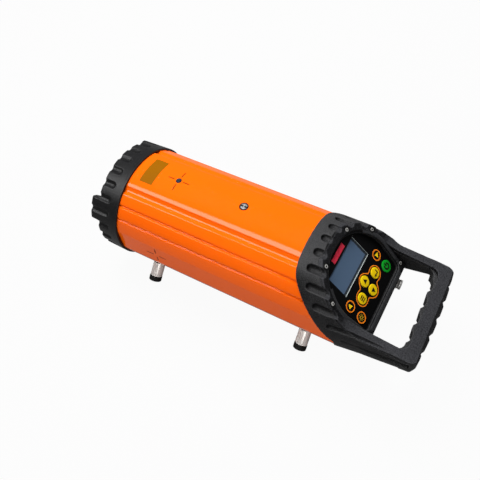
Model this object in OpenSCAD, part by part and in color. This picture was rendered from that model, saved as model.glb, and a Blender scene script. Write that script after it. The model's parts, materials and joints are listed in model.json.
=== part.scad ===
// Pipe laser: a tube on four splayed legs with a notched front ring,
// a sloping control panel, a carrying handle and a two-axis laser gimbal inside.
// Millimetres. +X runs to the handle, the beam leaves towards -X, +Z is up.
// The modules work in a frame with X on the tube's centre line and x = 0 at the pivot.

/* [Housing tube] */
// Outer diameter of the extruded tube
tube_d = 120; // [118:1:122]
// Wall of the tube
tube_wall = 5; // [4.5:0.5:5.5]
// Pivot to the front end of the tube
tube_front = 59; // [56:0.5:62]
// Depth of the flat down each side
flat_depth = 1.6; // [0.8:0.1:2]
// Width of the wide groove beside the crown
wide_groove_w = 9.4; // [8:0.2:10]
// Depth of the wide groove
wide_groove_depth = 2; // [1.2:0.1:2.4]
// Width of the two narrow grooves
narrow_groove_w = 3.2; // [2.4:0.2:4]
// Depth of the two narrow grooves
narrow_groove_depth = 1.5; // [1:0.1:1.6]

/* [Front ring] */
// How far the ring's rear edge stands over the tube
ring_proud = 2.2; // [1.8:0.1:3]
// Fall of the ring's radius from rear edge to lug tips
ring_taper = 1; // [0.6:0.1:1.4]
// Length of tube inside the ring
ring_lap = 9.5; // [8:0.5:11]
// How far the ring stands in front of the tube
ring_nose = 16.5; // [15.5:0.5:18]
// How far the lugs stand in front of the ring
lug_len = 9.5; // [7:0.5:11]
// Angle that a lug takes up
lug_angle = 26; // [22:1:30]
// Width of the notches in the ring
notch_w = 8; // [7:0.2:8.6]
// Depth of the notches in the ring
notch_depth = 2; // [1.6:0.2:2]
// Tube end to the round rear ends of the notches
notch_start = 1; // [1:0.5:3]
// Width of the ring's front face, from the tube's radius in to the opening
ring_face = 14; // [13:0.5:16]

/* [Beam window] */
// Width of the rim between the tube's inside and the opening for the beam
window_rim = 27; // [26:0.5:30]
// Thickness of the window glass
window_t = 4; // [3:0.5:5]

/* [Rear cap] */
// Pivot to the front edge of the cap on the crown
cap_front = 150.5; // [149:0.5:152]
// How far the cap stands over the tube
cap_proud = 2; // [1.6:0.1:2.4]
// Length of the cap's crown before the slope
cap_crown = 17.5; // [16.5:0.5:18.5]
// Angle of the slanted front edge from upright
slant_angle = 41; // [40:0.5:42]
// Length of tube inside the cap
cap_overlap = 7; // [6:0.5:7]
// Width of the flutes in the cap
flute_w = 8.4; // [7:0.2:8.6]
// Depth of the flutes in the cap
flute_depth = 3.1; // [2:0.1:3.2]

/* [Control panel] */
// Slope of the panel
panel_tilt = 45; // [44:0.5:46]
// Length of the sloping bezel
panel_len = 92.3; // [91.5:0.1:93]
// Depth of the panel below the bezel
recess_depth = 5.5; // [5:0.1:6]
// Width of the rim between the recess and the hand gap
recess_rim = 3; // [2.6:0.1:3.5]
// Radius of the yellow keys
key_r = 5.7; // [5.2:0.05:5.7]
// Radius of the ringed keys
ring_key_r = 6.3; // [5.8:0.05:6.5]
// Travel of a key
key_travel = 0.7; // [0.4:0.1:0.8]
// Room in the recess beside the front corners of the display window
lcd_side = 3.3; // [3:0.1:6]
// Display window to the middle row of keys
lcd_gap = 17; // [17:0.5:21]

/* [Handle] */
// Pivot to the rear of the grip
grip_rear = 282; // [280:0.5:286]
// Depth of the grip from front to rear
grip_w = 19; // [18:0.5:20]
// Thickness of the handle plate
plate_t = 3; // [2.8:0.1:3.4]
// Width of each handle arm
arm_w = 15; // [14:0.5:15.5]

/* [Legs] */
// Pivot to the front pair of legs
leg_front = 19.4; // [18:0.2:21]
// Pivot to the rear pair of legs
leg_rear = 165.2; // [162:0.2:170]
// How far the feet stand out of the tube
leg_out = 25; // [20:0.5:32]
// Diameter of a leg
leg_d = 13.4; // [11:0.2:13.8]
// Diameter of a rubber foot
foot_d = 14; // [13.6:0.2:16]

/* [Gimbal] */
// Teeth that a whole sector gear would have
sector_teeth = 68; // [66:1:68]
// Teeth on a pinion
pinion_teeth = 12; // [12:1:13]
// Diameter of the laser barrel
barrel_d = 28; // [24:1:30]
// Diameter of the trunnions
trunnion_d = 6; // [5:0.5:7]

/* [Connector] */
// Diameter of the charging connector
conn_d = 10.5; // [9:0.5:12]
// How far the connector stands out of the rear wall
conn_len = 11; // [8:0.5:12]

/* [Hidden] */
$fn = 64;

// Clearances: pieces put together, shafts that run, and air round moving pieces
fit_slip = 0.1;
fit_run = 0.05;
air = 0.3;
// Extra length for cutters
eps = 1;

tube_r = tube_d / 2;
tube_in = tube_r - tube_wall;
flat_y = tube_r - flat_depth;
// Grooves: angle from the crown, width, depth
GROOVES = [[29.5, wide_groove_w, wide_groove_depth],
    [46.5, narrow_groove_w, narrow_groove_depth],
    [61, narrow_groove_w * 0.8, narrow_groove_depth * 0.85]];

ring_r = tube_r + ring_proud;
ring_rear = tube_front - ring_lap;
ring_front = tube_front + ring_nose;
notch_rear = tube_front + notch_start;
ring_bore_r = tube_r - ring_face;
window_r = tube_in - window_rim;
lug_tip = ring_front + lug_len;
ring_tip_r = ring_r - ring_taper;
LUGS = [60, 180, 300];

cap_r = tube_r + cap_proud;
cap_wall = 3;
cavity_r = tube_in - 2;
// Rear end of the tube, turned down to seat in the cap
seat_step = 2.2;
seat_r = tube_r - seat_step;
slant_arc = 20;
slant_z = 57.5;
slant_bottom = -9;
slant_end = [cap_front + slant_arc * (1 - cos(slant_angle)),
    slant_z - slant_arc * sin(slant_angle)];
belly_x = slant_end[0] + (slant_end[1] - slant_bottom) * tan(slant_angle);
// Cap screws: place along the tube, and radius at which their heads seat
cap_screw_x = belly_x + 4;
cap_screw_r = seat_r + 1.2;
panel_top = cap_front + cap_crown;
cos_t = cos(panel_tilt);
sin_t = sin(panel_tilt);
deck_t = 12;
plate_drop = plate_t / cos_t;
plate_start = 3;

arm_start = 49.5;
arm_arc = 40;
arm_fall = 8;
hood = slope(panel_len, deck_t);
wall_x = hood[0];
arm_low_front = -22;
arm_low_rear = -11;
grip_mid = 1;
grip_front = grip_rear - grip_w;
plate_grip_front = grip_front + 4;
corner_r = 12;
gap_corner = 8.5;
gap_half = cap_r - arm_w;
// Radius of the bowed rear of the grip
bow_r = 460;
flute_len = 74;
side_flute_len = 62;
scallop_r = 5;
scallop_depth = 2.2;
scallop_pitch = 19.6;
inner_scallop_r = 11;
inner_scallop_depth = 3;

panel_t = 3;
gasket_t = 0.8;
ledge_w = recess_depth + panel_t + gasket_t;
ledge_in = 2;
recess_r = gap_half - recess_rim;
recess_front = 12;
recess_mid = recess_front + recess_r;
recess_end = panel_len - 5.8;
recess_corner = 6;
recess_corner_v = recess_r - 8.9;
side_taper = 6.7;
panel_back = recess_depth + panel_t;
key_proud = 0.6;
key_back = panel_back + 0.4;
key_flange_t = 1;
key_flange = 0.6;
key_end = key_back + key_flange_t + 0.7;
dome_top = key_end + key_travel + 0.4;
board_top = dome_top + 0.9;
board_t = 1.6;
// Keys: place down the slope, place across, radius
side_key_v = recess_r - 12.2;
mid_key_u = recess_end - 19.8;
mid_key_v = side_key_v / 2;
KEYS = [[mid_key_u - 8.4, side_key_v, ring_key_r], [mid_key_u - 8.4, -side_key_v, ring_key_r],
    [mid_key_u + 8.3, side_key_v, ring_key_r], [mid_key_u + 8.3, -side_key_v, ring_key_r],
    [mid_key_u + 6.6, 0, key_r], [mid_key_u - 6.3, 0, key_r],
    [mid_key_u, mid_key_v, key_r], [mid_key_u, -mid_key_v, key_r]];
boss_r = 2;
BOSSES = [for (s = [-1, 1], b = [[mid_key_u + 13, mid_key_v], [mid_key_u - 12.5, 12]])
    [b[0], s * b[1]]];
// Bezel screws: four on a circle round the recess, two beside its rear edge
screw_circle = recess_r + 5.7;
PLATE_SCREWS = [for (s = [-1, 1], p = [
    [recess_mid + screw_circle * cos(152.7), screw_circle * sin(152.7)],
    [recess_mid + screw_circle * cos(112.8), screw_circle * sin(112.8)],
    [panel_len - 6.9, gap_half - 3]]) [p[0], s * p[1]]];
lcd_front = 23.7;
lcd_h = mid_key_u - lcd_gap - lcd_front;
lcd_mid = lcd_front + lcd_h / 2;
lcd_v = -0.8;
lcd_w = 2 * (sqrt(recess_r * recess_r - pow(recess_mid - lcd_front, 2)) - lcd_side);
board_u0 = mid_key_u - 15.2;
board_u1 = mid_key_u + 15.8;
board_v = side_key_v + 5.2;
strip_mid = 19.1;
strip_h = 5.4;
strip_w = 23;

leg_angle = 135;
leg_reach = tube_r + leg_out;
LEGS = [[-leg_front, 1], [-leg_front, -1], [leg_rear, 1], [leg_rear, -1]];
stud_r = 4;
collar_out = tube_r + 2.5;
foot_len = 6;
plug_r = 3.5;
plug_len = 5;
nut_out = tube_in - 0.6;

conn_y = cap_r - 29;
conn_drop = 16.734;
nut_r = conn_d / 2 + 3.4;
nut_t = 4;
conn_z = cap_r - panel_len * sin(panel_tilt) - conn_drop;

rod_r = 2.5;
rod_circle = tube_in - 5;
RODS = [50, 110, 250, 310];
frame_in = tube_in - 10;
frame_half = 9;
bulk_t = 8;
bulk_front = -tube_front;
bulk_r = tube_in - fit_slip;
rear_bulk_t = 6;
yoke_out = frame_in - 3;
yoke_in = yoke_out - 8;
yoke_half = 7;
trun_r = trunnion_d / 2;
trun_end = yoke_out - 0.5;
pin_end = frame_in + 6;
mod = 1;
sector_r = sector_teeth * mod / 2;
pinion_r = pinion_teeth * mod / 2;
drive_x = sector_r + pinion_r;
gear_t = 4;
shaft_r = 1.5;
motor_r = 8;
motor_len = 10;
grade_y = yoke_in - 9;
arm_y = yoke_in;
arm_t = 3;
line_z = -yoke_in - 2;
bracket_z = line_z - 1.5 - 3;
barrel_r = barrel_d / 2;
barrel_front = -38;
barrel_rear = 48;

tray_front = 62;
tray_end = 4;
cell_r = 9.2;
cell_len = 65;
cell_z = 20.5 - tube_in;
tray_len = cell_len + 2 * tray_end + 1;
tray_top = 4;
rear_bulk_x = tray_front + tray_len + 4;

x_mid = (grip_rear - lug_tip) / 2;
axis_h = leg_reach * cos(180 - leg_angle) + foot_d / 2 * sin(180 - leg_angle);

// Point u down the slope and w under the bezel, as [x, z]
function slope(u, w = 0) =
    [panel_top + u * cos_t - w * sin_t, cap_r - u * sin_t - w * cos_t];

// Front edge of the cap moved back by d, from crown to belly, as [x, z]
function cap_edge(d) = concat([[cap_front + d, cap_r + 9]],
    [for (i = [0:8]) let (a = i * slant_angle / 8)
        [cap_front + d + slant_arc * (1 - cos(a)), slant_z - slant_arc * sin(a)]],
    [[belly_x + d, slant_bottom], [belly_x + d, -cap_r - 9]]);

// All that lies behind that edge
function behind_edge(d) = concat(cap_edge(d),
    [[2 * grip_rear, -cap_r - 9], [2 * grip_rear, cap_r + 9]]);

// Where the cap's front edge lies at height z
function edge_x(z) = z > slant_end[1]
    ? cap_front + slant_arc * (1 - cos(asin(max(0, slant_z - z) / slant_arc)))
    : min(belly_x, slant_end[0] + (slant_end[1] - z) * tan(slant_angle));

// Top line of bezel, arm and grip, from u = plate_start to behind the grip, lowered by d
function arm_mid() = slope(arm_start) + arm_arc * [sin_t, cos_t];
function arm_end() = arm_mid() - arm_arc * [sin(arm_fall), cos(arm_fall)];
function arm_top(d) = concat(
    [for (a = [panel_tilt:-(panel_tilt - arm_fall) / 6:arm_fall - 0.01])
        arm_mid() - arm_arc * [sin(a), cos(a)] - [0, d]],
    [let (x = grip_rear - (d > 0 ? 0.8 : 4))
        [x, arm_end()[1] - (x - arm_end()[0]) * tan(arm_fall) - d]]);

// Outline of a spur gear with straight flanks, or of part of one, teeth i0 to i1
function gear_points(n, i0, i1, ph) = [for (i = [i0:i1], k = [0:3])
    let (r = k == 0 || k == 3 ? n * mod / 2 - 1.15 * mod : n * mod / 2 + 0.9 * mod,
        h = k == 0 || k == 3 ? mod : 0.26 * mod,
        s = k < 2 ? -1 : 1,
        a = ph + i * 360 / n + s * h / r * 180 / PI)
    r * [cos(a), sin(a)]];

// Moves the centre line frame to the part's own frame
module place() {
    translate([-x_mid, 0, axis_h]) children();
}

// Stands a flat shape drawn in y and z up and runs it along X
module run_x(x0, x1) {
    translate([x0, 0, 0]) rotate([90, 0, 90]) linear_extrude(x1 - x0) children();
}

// Runs a flat shape drawn in x and z across the width
module run_y(w) {
    rotate([90, 0, 0]) linear_extrude(w, center = true) children();
}

module rod_x(r, x0, x1) {
    translate([x0, 0, 0]) rotate([0, 90, 0]) cylinder(r = r, h = x1 - x0);
}

module cone_x(r0, r1, x0, x1) {
    translate([x0, 0, 0]) rotate([0, 90, 0]) cylinder(r1 = r0, r2 = r1, h = x1 - x0);
}

// Turns a piece drawn on the crown by an angle towards -Y
module round_x(a) {
    rotate([a, 0, 0]) children();
}

// Puts children on the bezel: x down the slope, y across, z out of it
module on_panel() {
    translate([panel_top, 0, cap_r]) rotate([0, panel_tilt, 0]) children();
}

// A layer of the panel stack between depths w0 and w1
module layer(w0, w1) {
    on_panel() translate([0, 0, -w1]) linear_extrude(w1 - w0) children();
}

// Points a leg piece drawn along +Z outwards
module on_leg(leg) {
    translate([leg[0], 0, 0]) rotate([-leg[1] * leg_angle, 0, 0]) children();
}

// Groove cutter with a round floor and a round end, of width w and depth d in radius r
module groove(w, d, r, x0, x1) {
    g = (w * w / 4 + d * d) / (2 * d);
    translate([0, 0, r - d + g]) rod_x(g, x0, x1);
}

module tube_section() {
    difference() {
        circle(tube_r, $fn = 128);
        for (s = [-1, 1])
            translate([s * (flat_y + tube_r / 2), 0]) square([tube_r, tube_d], center = true);
        for (s = [-1, 1], g = GROOVES) {
            floor_r = (g[1] * g[1] / 4 + g[2] * g[2]) / (2 * g[2]);
            rotate(s * g[0]) translate([0, tube_r - g[2] + floor_r]) circle(floor_r);
        }
        circle(tube_in, $fn = 128);
    }
}

module housing_tube() {
    color("darkorange") difference() {
        run_x(-tube_front, belly_x + cap_overlap) tube_section();
        run_y(4 * tube_r) polygon(behind_edge(cap_overlap));
        difference() {
            run_y(4 * tube_r) polygon(behind_edge(-fit_slip));
            rod_x(seat_r, 0, 3 * grip_rear, $fn = 128);
        }
        for (leg = LEGS)
            on_leg(leg) translate([0, 0, tube_in - 5]) cylinder(r = stud_r + fit_slip, h = 20);
        translate([0, 0, tube_in - 5]) cylinder(r = 2.6 + fit_slip, h = 20);
        translate([77, 0, tube_in - 5]) cylinder(r = 4 + fit_slip, h = 20);
        for (s = [-1, 1])
            round_x(180 + s * 40) translate([cap_screw_x, 0, tube_in - 5])
                cylinder(r = 1.5 + fit_slip, h = 20);
    }
}

// Front ring
module lug_fan() {
    for (a = LUGS)
        rotate(a) polygon([[0, 0], [2 * ring_r * tan(lug_angle / 2), 2 * ring_r],
            [-2 * ring_r * tan(lug_angle / 2), 2 * ring_r]]);
}

module front_ring() {
    notch_r = ring_r - ring_taper * (notch_rear + 10 - ring_rear) / (lug_tip - ring_rear);
    ball = (notch_w * notch_w / 4 + notch_depth * notch_depth) / (2 * notch_depth);
    color("dimgray") difference() {
        cone_x(ring_tip_r, ring_r, -lug_tip, -ring_rear, $fn = 128);
        rod_x(tube_r + fit_slip, -tube_front, 0, $fn = 128);
        rod_x(ring_bore_r, -lug_tip - eps, 0, $fn = 128);
        rod_x(ring_tip_r - 8, -lug_tip - eps, -ring_front, $fn = 128);
        run_x(-lug_tip - eps, -ring_front) difference() {
            circle(2 * ring_r);
            lug_fan();
        }
        for (a = [0:15:345]) round_x(a) {
            groove(notch_w, notch_depth, notch_r, -lug_tip - eps, -notch_rear - notch_w / 2);
            translate([-notch_rear - notch_w / 2, 0, notch_r - notch_depth + ball])
                sphere(ball, $fn = 48);
        }
        for (a = [30:60:330]) round_x(a) translate([0, 0, rod_circle]) {
            rod_x(1.9 + fit_slip, -lug_tip, 0);
            rod_x(3.4, -lug_tip - eps, -ring_front + 4);
        }
    }
}

module front_bulkhead() {
    color("silver") difference() {
        rod_x(bulk_r, bulk_front, bulk_front + bulk_t, $fn = 128);
        rod_x(window_r, bulk_front - eps, 0);
        rod_x(window_r + 5, bulk_front - eps, bulk_front + window_t);
        translate([bulk_front + bulk_t / 2 - 1.2, 0, 0]) difference() {
            rod_x(bulk_r + eps, 0, 2.4, $fn = 128);
            rod_x(bulk_r - 2, -eps, 2.4 + eps, $fn = 128);
        }
        for (a = RODS) round_x(a) translate([0, 0, rod_circle])
            rod_x(rod_r + fit_slip, bulk_front + 3, 0);
        for (a = [30:60:330]) round_x(a) translate([0, 0, rod_circle])
            rod_x(1.9 + fit_slip, bulk_front - eps, bulk_front + 6);
        for (a = [0:60:300]) round_x(a) translate([0, 0, window_r + 8])
            rod_x(1.25 + fit_slip, bulk_front - eps, bulk_front + 6);
    }
}

module front_seal() {
    color("black") translate([bulk_front + bulk_t / 2, 0, 0]) rotate([0, 90, 0])
        rotate_extrude($fn = 128) translate([bulk_r - 1, 0]) circle(1, $fn = 24);
}

module window_glass() {
    color("lightblue") rod_x(window_r + 5 - fit_slip, bulk_front, bulk_front + window_t);
}

module window_retainer() {
    color("dimgray") difference() {
        rod_x(window_r + 11, bulk_front - 2.5, bulk_front);
        rod_x(window_r, bulk_front - 9, 0);
        for (a = [0:60:300]) round_x(a) translate([0, 0, window_r + 8])
            rod_x(1.25 + fit_slip, bulk_front - 9, 0);
    }
}

module retainer_screws() {
    color("silver") for (a = [0:60:300]) round_x(a) translate([0, 0, window_r + 8]) {
        rod_x(1.25, bulk_front - 3.5, bulk_front + 5);
        rod_x(2.4, bulk_front - 4.1, bulk_front - 2.5);
    }
}

module ring_screws() {
    color("silver") for (a = [30:60:330]) round_x(a) translate([0, 0, rod_circle])
        difference() {
            union() {
                rod_x(1.9, -ring_front + 2, bulk_front + 5.5);
                rod_x(3.1, -ring_front + 0.6, -ring_front + 4);
            }
            rod_x(1.5, -ring_front - eps, -ring_front + 2.4, $fn = 6);
        }
}

// Rear cap and handle
module cap_round() {
    tail = cap_r - 3.4;
    grip_r = tail - 1.4;
    x1 = panel_top + 24;
    x2 = x1 + 30;
    x3 = x2 + 30;
    rod_x(cap_r, cap_front, x1, $fn = 128);
    cone_x(cap_r, tail, x1, x2, $fn = 128);
    cone_x(tail, grip_r, x2, x3, $fn = 128);
    cone_x(grip_r, grip_r - 1, x3, grip_rear + 5, $fn = 128);
}

// How far the bowed rear of the grip falls back at a distance from its middle
function bow_drop(y) = bow_r - sqrt(bow_r * bow_r - y * y);

module handle_plan() {
    square_y = cap_r - 5.8 - corner_r;
    intersection() {
        union() {
            translate([0, -cap_r]) square([grip_rear - corner_r, 2 * cap_r]);
            translate([0, -square_y]) square([grip_rear, 2 * square_y]);
            for (s = [-1, 1]) translate([grip_rear - corner_r, s * square_y]) circle(corner_r);
        }
        translate([grip_rear - bow_r, 0]) circle(bow_r, $fn = 256);
    }
}

// Plan of the hand gap from x0 to x_end, with round rear corners
module gap_plan(x0, x_end) {
    translate([x0, -gap_half]) square([x_end - gap_corner - x0, 2 * gap_half]);
    translate([x0, gap_corner - gap_half])
        square([x_end - x0, 2 * (gap_half - gap_corner)]);
    for (s = [-1, 1])
        translate([x_end - gap_corner, s * (gap_half - gap_corner)]) circle(gap_corner);
}

// Room between the arms: above depth w of the bezel, and behind the rear wall
module hand_gap(x_end, w) {
    x0 = slope(arm_start, w)[0];
    intersection() {
        translate([0, 0, -2 * cap_r]) linear_extrude(4 * cap_r) gap_plan(x0, x_end);
        run_y(3 * gap_half)
            polygon([slope(arm_start, w), slope(panel_len, w), hood, [wall_x, -2 * cap_r],
                [x_end + eps, -2 * cap_r], [x_end + eps, 2 * cap_r], [x0, 2 * cap_r]]);
    }
}

module scallops() {
    for (i = [-2:2])
        translate([grip_rear - bow_drop(i * scallop_pitch) + scallop_r - scallop_depth,
            i * scallop_pitch, -cap_r])
            cylinder(r = scallop_r, h = 2 * cap_r);
}

module inner_scallops() {
    for (i = [-1.5:1.5])
        translate([grip_front - inner_scallop_r + inner_scallop_depth, i * scallop_pitch, -cap_r])
            cylinder(r = inner_scallop_r, h = 2 * cap_r);
}

module flutes() {
    ball = (flute_w * flute_w / 4 + flute_depth * flute_depth) / (2 * flute_depth);
    for (a = [-90:15:90]) {
        back = abs(a) > 70 ? 13.5 : 9.5;
        x0 = edge_x(cap_r * cos(a)) + back + flute_w / 2;
        lean = abs(a) > 70 ? 5 : 0;
        round_x(a) translate([x0, 0, cap_r - flute_depth + ball]) rotate([0, lean, 0]) {
            sphere(ball, $fn = 48);
            rod_x(ball, 0, abs(a) > 80 ? side_flute_len : flute_len);
        }
    }
}

// Outline of the recess, moved in by i: a half circle, two tapering sides, two corners
function recess_points(i) = let (r = recess_corner - i, cu = recess_end - recess_corner)
    concat([for (a = [90:5:270]) [recess_mid, 0] + (recess_r - i) * [cos(a), sin(a)]],
        [for (a = [side_taper - 90:(90 - side_taper) / 6:0.01])
            [cu, -recess_corner_v] + r * [cos(a), sin(a)]],
        [for (a = [0:(90 - side_taper) / 6:90.01 - side_taper])
            [cu, recess_corner_v] + r * [cos(a), sin(a)]]);

module recess_plan(i) {
    polygon(recess_points(i));
}

module cap_profile() {
    edge = cap_edge(0);
    polygon(concat([slope(-9 / sin_t), slope(plate_start), slope(plate_start, plate_t)],
        [for (q = arm_top(plate_drop)) q], [[grip_rear, grip_mid],
        [grip_rear - 6.5, arm_low_rear], [grip_rear - 11, arm_low_rear],
        [wall_x, arm_low_front], [wall_x, -cap_r - 9]],
        [for (i = [len(edge) - 1:-1:0]) edge[i]]));
}

module plate_profile() {
    top = arm_top(0);
    low = arm_top(plate_drop);
    polygon(concat([slope(plate_start)], top, [for (i = [len(low) - 1:-1:0]) low[i]],
        [slope(plate_start, plate_t)]));
}

module cap_shell() {
    intersection() {
        cap_round();
        run_y(3 * cap_r) children();
        translate([0, 0, -2 * cap_r]) linear_extrude(4 * cap_r) handle_plan();
    }
}

// Slanting cut under the inner edge of each arm
module arm_chamfer() {
    for (s = [-1, 1])
        translate([wall_x, 0, arm_low_front]) rotate([0, -13.5, 0])
            rotate([90, 0, 90]) linear_extrude(grip_front - wall_x + 3)
                polygon([[s * (gap_half - eps), 11], [s * (gap_half - eps), -20],
                    [s * (gap_half + 9.5), -20], [s * (gap_half + 9.5), 0.8]]);
}

module rear_cap() {
    color("dimgray") difference() {
        cap_shell() cap_profile();
        intersection() {
            rod_x(seat_r + fit_slip, cap_front - eps, grip_rear, $fn = 128);
            run_y(3 * cap_r)
                polygon(concat(cap_edge(cap_overlap + 0.2), [[cap_front - 9, -cap_r - 9],
                    [cap_front - 9, cap_r + 9]]));
        }
        difference() {
            rod_x(cavity_r, cap_front - eps, wall_x - cap_wall, $fn = 128);
            on_panel() translate([-200, -200, -deck_t]) cube(400);
        }
        layer(-20, ledge_w) recess_plan(0);
        layer(ledge_w - eps, deck_t + eps) recess_plan(ledge_in);
        hand_gap(grip_front, plate_t);
        scallops();
        inner_scallops();
        flutes();
        arm_chamfer();
        for (p = PLATE_SCREWS)
            on_panel() translate([p[0], p[1], -10.4]) cylinder(r = 1.4 + fit_slip, h = 10);
        translate([0, conn_y, conn_z]) {
            rod_x(conn_d / 2 + fit_slip, wall_x - 20, wall_x + eps);
            rod_x(nut_r + air, wall_x - cap_wall - nut_t - air, wall_x - cap_wall - fit_slip);
        }
        for (s = [-1, 1])
            round_x(180 + s * 40) translate([cap_screw_x, 0, 0]) {
                translate([0, 0, tube_in]) cylinder(r = 1.5 + fit_slip, h = 20);
                translate([0, 0, cap_screw_r]) cylinder(r = 3, h = 20);
            }
    }
}

// The bezel between the arms
module bezel_strip() {
    layer(0, plate_t) translate([arm_start - 5, -gap_half])
        square([panel_len - arm_start + 5, 2 * gap_half]);
}

module handle_plate() {
    color("gray") difference() {
        union() {
            cap_shell() plate_profile();
            intersection() {
                cap_round();
                bezel_strip();
            }
        }
        layer(-30, plate_t + 9) recess_plan(0);
        hand_gap(plate_grip_front, 0);
        scallops();
        flutes();
        for (p = PLATE_SCREWS) on_panel() translate([p[0], p[1], -1.8]) {
            cylinder(r = 2.9, h = 1.9);
            translate([0, 0, -9]) cylinder(r = 1.4 + fit_slip, h = 10);
        }
    }
}

module plate_screws() {
    color("silver") for (p = PLATE_SCREWS) on_panel() translate([p[0], p[1], 0])
        difference() {
            union() {
                translate([0, 0, -10]) cylinder(r = 1.4, h = 9);
                translate([0, 0, -1.8]) cylinder(r = 2.5, h = 1.6);
            }
            translate([0, 0, -1.3]) cylinder(r = 1.4, h = 9, $fn = 6);
        }
}

module cap_screws() {
    color("silver") for (s = [-1, 1])
        round_x(180 + s * 40) translate([cap_screw_x, 0, tube_in - 1]) {
            cylinder(r = 1.5, h = cap_screw_r - tube_in + 1);
            translate([0, 0, cap_screw_r - tube_in + 1]) cylinder(r = 2.7, h = 0.7);
        }
}

// Control panel
module lcd_rect(d) {
    translate([lcd_mid, lcd_v]) square([lcd_h + 2 * d, lcd_w + 2 * d], center = true);
}

module strip_rect(d) {
    translate([strip_mid, 0]) square([strip_h + 2 * d, strip_w + 2 * d], center = true);
}

module panel_plate() {
    color("black") difference() {
        union() {
            layer(recess_depth, panel_back) recess_plan(fit_slip);
            layer(panel_back - eps, board_top)
                for (b = BOSSES) translate(b) circle(boss_r);
        }
        layer(recess_depth - eps, panel_back + eps) lcd_rect(0);
        layer(recess_depth + 1.3, panel_back + eps) lcd_rect(0.8);
        layer(recess_depth - eps, panel_back + eps) strip_rect(0);
        layer(recess_depth - eps, panel_back + eps)
            for (k = KEYS) translate([k[0], k[1]]) circle(k[2] + air);
        layer(panel_back, board_top + eps) for (b = BOSSES) translate(b) circle(0.9 + fit_slip);
    }
}

module panel_gasket() {
    color("dimgray") layer(panel_back, panel_back + gasket_t) difference() {
        recess_plan(fit_slip);
        recess_plan(ledge_in);
    }
}

module lcd_window() {
    color("slategray") layer(recess_depth + 1.3, panel_back) lcd_rect(0.8 - fit_slip);
}

module lcd_module() {
    color("gray") layer(panel_back, panel_back + 4.5) lcd_rect(-1);
}

module remote_window() {
    color("crimson") layer(recess_depth - 0.3, panel_back) strip_rect(-fit_slip);
}

module key_board() {
    color("green") difference() {
        layer(board_top, board_top + board_t)
            translate([board_u0, -board_v]) square([board_u1 - board_u0, 2 * board_v]);
        layer(board_top - eps, board_top + 9)
            for (b = BOSSES) translate(b) circle(0.9 + fit_slip);
    }
}

module key_domes() {
    color("silver") layer(dome_top, board_top)
        for (k = KEYS) translate([k[0], k[1]]) circle(3);
}

module key_board_screws() {
    color("silver") {
        layer(board_top - 3, board_top + board_t + 0.5)
            for (b = BOSSES) translate(b) circle(0.9);
        layer(board_top + board_t, board_top + board_t + 1)
            for (b = BOSSES) translate(b) circle(1.8);
    }
}

module key(i, c) {
    k = KEYS[i];
    color(c) {
        layer(recess_depth - key_proud, key_back + 0.5) translate([k[0], k[1]]) circle(k[2]);
        layer(key_back, key_back + key_flange_t)
            translate([k[0], k[1]]) circle(k[2] + key_flange);
        layer(key_back + 0.5, key_end) translate([k[0], k[1]]) circle(1.6);
    }
}

module charge_connector() {
    color("silver") translate([0, conn_y, conn_z]) difference() {
        union() {
            rod_x(conn_d / 2, wall_x - cap_wall - 6, wall_x + conn_len);
            rod_x(conn_d / 2 + 2, wall_x, wall_x + 2);
        }
        rod_x(conn_d / 2 - 1.4, wall_x + conn_len - 7, wall_x + conn_len + eps);
    }
}

module connector_nut() {
    color("silver") translate([0, conn_y, conn_z]) difference() {
        rod_x(nut_r, wall_x - cap_wall - nut_t, wall_x - cap_wall, $fn = 6);
        rod_x(conn_d / 2 + fit_slip, wall_x - 20, wall_x);
    }
}

// Legs
module leg_posts() {
    color("silver") for (leg = LEGS) on_leg(leg) difference() {
        union() {
            translate([0, 0, tube_in - 6]) cylinder(r = stud_r, h = collar_out - tube_in + 7);
            translate([0, 0, collar_out])
                cylinder(d = leg_d, h = leg_reach - foot_len - collar_out);
        }
        translate([0, 0, leg_reach - foot_len - plug_len - 0.2])
            cylinder(r = plug_r + fit_slip, h = plug_len + 9);
    }
}

module leg_collars() {
    color("black") for (leg = LEGS) difference() {
        on_leg(leg) translate([0, 0, tube_r - 3])
            difference() {
                cylinder(r = leg_d / 2 + 0.6, h = collar_out - tube_r + 3);
                translate([0, 0, -eps]) cylinder(r = stud_r + fit_slip, h = 20);
            }
        rod_x(tube_r + fit_slip, -tube_front, grip_rear, $fn = 128);
    }
}

module leg_feet() {
    color("black") for (leg = LEGS) on_leg(leg) {
        translate([0, 0, leg_reach - foot_len]) cylinder(d = foot_d, h = foot_len);
        translate([0, 0, leg_reach - foot_len - plug_len])
            cylinder(r = plug_r, h = plug_len + eps);
    }
}

module leg_nuts() {
    color("silver") for (leg = LEGS) on_leg(leg) difference() {
        translate([0, 0, nut_out - 4]) cylinder(r = 6.8, h = 4, $fn = 6);
        translate([0, 0, nut_out - 9]) cylinder(r = stud_r + fit_slip, h = 20);
    }
}

module pivot_screw() {
    color("darkslategray") difference() {
        translate([0, 0, tube_in + 0.6]) cylinder(r = 2.6, h = tube_wall - 0.8);
        translate([0, 0, tube_r - 2]) cylinder(r = 1.4, h = 9, $fn = 6);
    }
}

module sight_screw() {
    color("silver") difference() {
        translate([77, 0, tube_in + 0.6]) cylinder(r = 4, h = tube_wall - 0.8);
        translate([77 - 9, -0.6, tube_r - 1.6]) cube([18, 1.2, 9]);
    }
}

// Inner frame and gimbal
module tie_rods() {
    color("silver") for (a = RODS) round_x(a) translate([0, 0, rod_circle])
        rod_x(rod_r, bulk_front + 3, rear_bulk_x + rear_bulk_t - 2);
}

module rear_bulkhead() {
    color("silver") difference() {
        rod_x(bulk_r, rear_bulk_x, rear_bulk_x + rear_bulk_t, $fn = 128);
        for (a = RODS) round_x(a) translate([0, 0, rod_circle])
            rod_x(rod_r + fit_slip, 0, rear_bulk_x + rear_bulk_t - 2);
        rod_x(9, 0, grip_rear);
    }
}

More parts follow.
